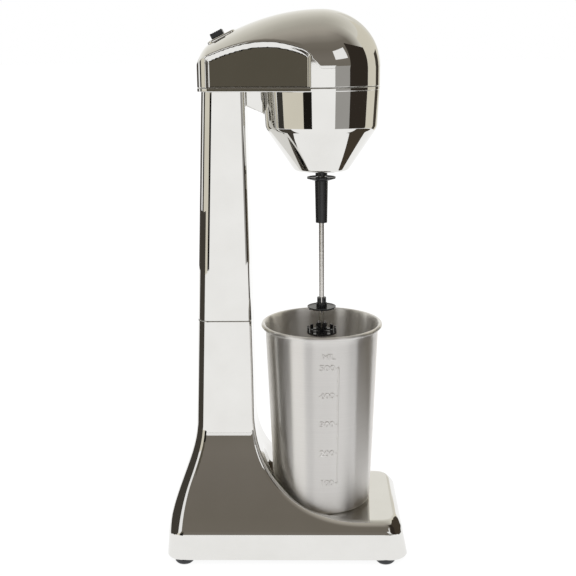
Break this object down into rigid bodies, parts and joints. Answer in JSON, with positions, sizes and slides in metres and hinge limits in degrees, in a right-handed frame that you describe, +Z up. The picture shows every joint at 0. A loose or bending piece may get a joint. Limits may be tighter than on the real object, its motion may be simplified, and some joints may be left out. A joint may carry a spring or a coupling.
{
  "type": "milkshake mixer",
  "caption": "Bench milkshake mixer: chrome column on a broad base, domed motor head with slide switch, pull-off spindle with agitators, and a brushed steel cup with a measuring scale.",
  "frame": {"origin": "middle of the footprint, at the surface that the feet stand on", "axes": "+Z up; +X towards the front, where the cup stands; +Y to the left as the front faces forward"},
  "size_m": [0.183, 0.108, 0.4064],
  "materials": {
    "chrome_plate": "polished",
    "black_plastic": "satin",
    "base_plastic": "matte",
    "foot_rubber": "matte",
    "mount_rubber": "matte",
    "lead_sheath": "satin",
    "rod_steel": "satin",
    "cup_steel": "satin",
    "screw_steel": "satin",
    "lamination_steel": "satin",
    "copper": "satin",
    "terminal_brass": "satin",
    "bearing_bronze": "satin",
    "bracket_alloy": "satin",
    "phenolic": "matte",
    "carbon": "matte",
    "fan_plastic": "satin",
    "switch_plastic": "satin",
    "capacitor_epoxy": "satin"
  },
  "bodies": {
    "stand": {"base_shell": "chrome_plate", "base_plate": "base_plastic", "base_plate_screws": "screw_steel", "foot_front_left": "foot_rubber", "foot_front_right": "foot_rubber", "foot_rear_left": "foot_rubber", "foot_rear_right": "foot_rubber", "cord_bushing": "base_plastic", "lead_clamp": "base_plastic", "internal_lead": "lead_sheath", "column_shell": "chrome_plate", "column_screws": "screw_steel", "head_housing": "chrome_plate", "head_cover": "chrome_plate", "head_cover_screws": "screw_steel", "switch_plate": "chrome_plate", "switch_body": "switch_plastic", "switch_terminals": "terminal_brass", "switch_screws": "screw_steel", "speed_diode": "switch_plastic", "suppression_capacitor": "capacitor_epoxy", "stator_core": "lamination_steel", "field_coil_left": "copper", "field_coil_right": "copper", "lower_bearing_bracket": "bracket_alloy", "upper_bearing_bracket": "bracket_alloy", "lower_bearing": "bearing_bronze", "upper_bearing": "bearing_bronze", "motor_screws": "screw_steel", "motor_mount_ring": "mount_rubber", "nose_seal": "black_plastic", "brush_holder_left": "phenolic", "brush_holder_right": "phenolic", "brush_spring_left": "screw_steel", "brush_spring_right": "screw_steel"},
    "rotor": {"motor_shaft": "rod_steel", "rotor_core": "lamination_steel", "rotor_winding": "copper", "commutator": "copper", "cooling_fan": "fan_plastic"},
    "spindle": {"spindle_sleeve": "black_plastic", "spindle_rod": "rod_steel", "upper_agitator": "black_plastic", "lower_agitator": "black_plastic"},
    "cup": {"cup": "cup_steel"},
    "switch_slider": {"switch_knob": "black_plastic"},
    "left_brush": {"carbon_brush_left": "carbon"},
    "right_brush": {"carbon_brush_right": "carbon"}
  },
  "joints": [
    {"name": "rotor_spin", "type": "hinge", "parent": "stand", "child": "rotor", "pos_m": [0.027, 0, 0.35], "axis": [0, 0, 1], "continuous": true},
    {"name": "spindle_pull_off", "type": "slide", "parent": "rotor", "child": "spindle", "axis": [0, 0, -1], "range_m": [0, 0.015]},
    {"name": "cup_lift", "type": "slide", "parent": "stand", "child": "cup", "axis": [0, 0, 1], "range_m": [0, 0.105]},
    {"name": "switch_slide", "type": "slide", "parent": "stand", "child": "switch_slider", "axis": [0.9011, 0, 0.4337], "range_m": [0, 0.006]},
    {"name": "left_brush_feed", "type": "slide", "parent": "stand", "child": "left_brush", "axis": [0, 1, 0], "range_m": [0, 0.003], "stiffness_N_per_m": 60, "springref_m": -0.004, "deforming": ["brush_spring_left"]},
    {"name": "right_brush_feed", "type": "slide", "parent": "stand", "child": "right_brush", "axis": [0, -1, 0], "range_m": [0, 0.003], "stiffness_N_per_m": 60, "springref_m": -0.004, "deforming": ["brush_spring_right"]}
  ]
}
